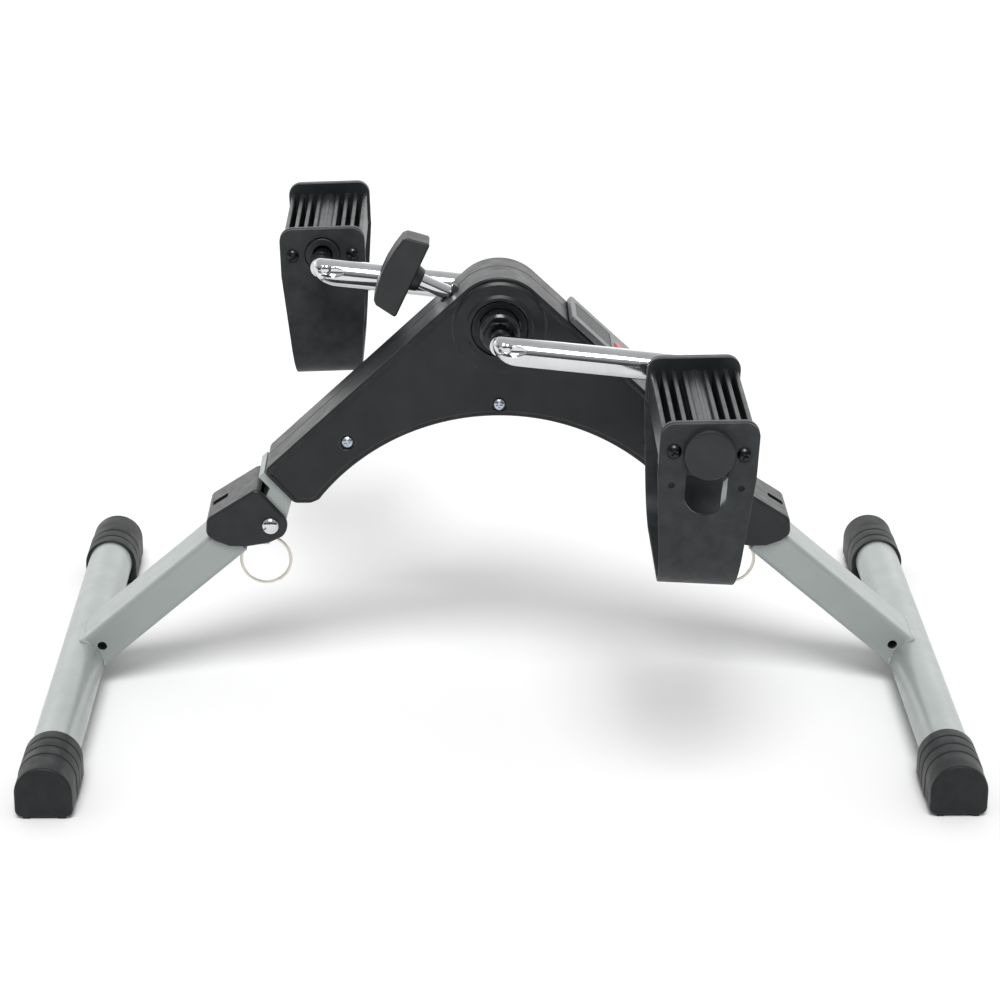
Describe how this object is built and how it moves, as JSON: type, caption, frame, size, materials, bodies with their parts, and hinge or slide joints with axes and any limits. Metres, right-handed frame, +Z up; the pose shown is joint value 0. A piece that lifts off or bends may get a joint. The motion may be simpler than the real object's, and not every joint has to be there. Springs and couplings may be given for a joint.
{
  "type": "pedal exerciser",
  "caption": "Folding floor or table pedal exerciser: arched body with a crank, strap pedals, a friction knob and a small display, on hinged tubular legs with foot bars.",
  "frame": {"origin": "on the floor, under the middle of the crank axle", "axes": "+X to the right from leg to leg, +Y away from the viewer along the crank axle, +Z up"},
  "size_m": [0.4948, 0.3888, 0.258],
  "materials": {
    "grey_paint": "semi-gloss grey enamel on steel",
    "black_plastic": "fine-grained semi-matt black moulding",
    "black_rubber": "matt black rubber",
    "black_paint": "semi-gloss black powder coat",
    "chrome": "bright chrome plating",
    "steel": "plain zinc-plated steel",
    "window": "clear smoked cover",
    "red_plastic": "glossy red",
    "circuit_board": "green solder mask",
    "felt": "grey wool felt"
  },
  "bodies": {
    "main_frame": {"centre_frame": "grey_paint", "front_housing": "black_plastic", "rear_housing": "black_plastic", "housing_screw_left": "steel", "housing_screw_middle": "steel", "housing_screw_right": "steel", "near_axle_bush": "black_plastic", "far_axle_bush": "black_plastic", "display_case": "black_plastic", "display_window": "window", "display_board": "circuit_board", "speed_sensor": "black_plastic", "tension_bush": "black_plastic"},
    "crankset": {"crank_axle": "steel", "brake_drum": "steel", "speed_magnet": "steel", "near_crank_arm": "chrome", "far_crank_arm": "chrome", "near_pedal_spindle": "steel", "far_pedal_spindle": "steel"},
    "near_pedal": {"near_pedal_body": "black_plastic", "near_strap": "black_rubber", "near_pedal_cap": "black_plastic", "near_outer_strap_screw_left": "steel", "near_outer_strap_screw_right": "steel", "near_inner_strap_screw_left": "steel", "near_inner_strap_screw_right": "steel"},
    "far_pedal": {"far_pedal_body": "black_plastic", "far_strap": "black_rubber", "far_pedal_cap": "black_plastic", "far_outer_strap_screw_left": "steel", "far_outer_strap_screw_right": "steel", "far_inner_strap_screw_left": "steel", "far_inner_strap_screw_right": "steel"},
    "tension_handle": {"tension_screw": "chrome", "tension_knob": "black_plastic"},
    "brake": {"brake_shoe": "steel", "felt_pad": "felt"},
    "button": {"reset_button": "red_plastic"},
    "left_leg": {"left_strut": "grey_paint", "left_foot_tube": "grey_paint", "left_front_foot_cap": "black_rubber", "left_rear_foot_cap": "black_rubber", "left_bracket": "black_paint", "left_pivot_pin": "chrome", "left_latch_guide": "steel", "left_latch_spring": "steel"},
    "right_leg": {"right_strut": "grey_paint", "right_foot_tube": "grey_paint", "right_front_foot_cap": "black_rubber", "right_rear_foot_cap": "black_rubber", "right_bracket": "black_paint", "right_pivot_pin": "chrome", "right_latch_guide": "steel", "right_latch_spring": "steel"},
    "left_latch": {"left_latch_bolt": "steel"},
    "right_latch": {"right_latch_bolt": "steel"},
    "left_ring": {"left_pull_ring": "chrome"},
    "right_ring": {"right_pull_ring": "chrome"}
  },
  "joints": [
    {"name": "crank_spin", "type": "hinge", "parent": "main_frame", "child": "crankset", "pos_m": [0, 0, 0.212], "axis": [0, 1, 0], "continuous": true},
    {"name": "near_pedal_spin", "type": "hinge", "parent": "crankset", "child": "near_pedal", "pos_m": [0.09842, 0, 0.20131], "axis": [0, 1, 0], "continuous": true},
    {"name": "far_pedal_spin", "type": "hinge", "parent": "crankset", "child": "far_pedal", "pos_m": [-0.09842, 0, 0.22269], "axis": [0, 1, 0], "continuous": true},
    {"name": "knob_turn", "type": "hinge", "parent": "main_frame", "child": "tension_handle", "pos_m": [0, 0, 0.212], "axis": [-0.9063, 0, 0.4226], "range_deg": [-360, 360]},
    {"name": "shoe_slide", "type": "slide", "parent": "main_frame", "child": "brake", "axis": [0.9063, 0, -0.4226], "range_m": [-0.00125, 0.00125]},
    {"name": "button_press", "type": "slide", "parent": "main_frame", "child": "button", "axis": [-0.682, 0, -0.7314], "range_m": [0, 0.0006], "stiffness_N_per_m": 500},
    {"name": "left_leg_fold", "type": "hinge", "parent": "main_frame", "child": "left_leg", "pos_m": [-0.1247, 0, 0.0984], "axis": [0, -1, 0], "range_deg": [0, 95]},
    {"name": "left_latch_slide", "type": "slide", "parent": "left_leg", "child": "left_latch", "axis": [-0.76, 0, -0.6499], "range_m": [0, 0.006], "stiffness_N_per_m": 300, "deforming": ["left_latch_spring"]},
    {"name": "left_ring_swing", "type": "hinge", "parent": "left_latch", "child": "left_ring", "pos_m": [-0.1288, 0, 0.0843], "axis": [1, 0, 0], "range_deg": [-30, 30]},
    {"name": "right_leg_fold", "type": "hinge", "parent": "main_frame", "child": "right_leg", "pos_m": [0.1247, 0, 0.0984], "axis": [0, 1, 0], "range_deg": [0, 95]},
    {"name": "right_latch_slide", "type": "slide", "parent": "right_leg", "child": "right_latch", "axis": [0.76, 0, -0.6499], "range_m": [0, 0.006], "stiffness_N_per_m": 300, "deforming": ["right_latch_spring"]},
    {"name": "right_ring_swing", "type": "hinge", "parent": "right_latch", "child": "right_ring", "pos_m": [0.1288, 0, 0.0843], "axis": [1, 0, 0], "range_deg": [-30, 30]}
  ],
  "couplings": [
    {"joint": "knob_turn", "follows": "shoe_slide", "rad_per_m": 5026.5}
  ]
}
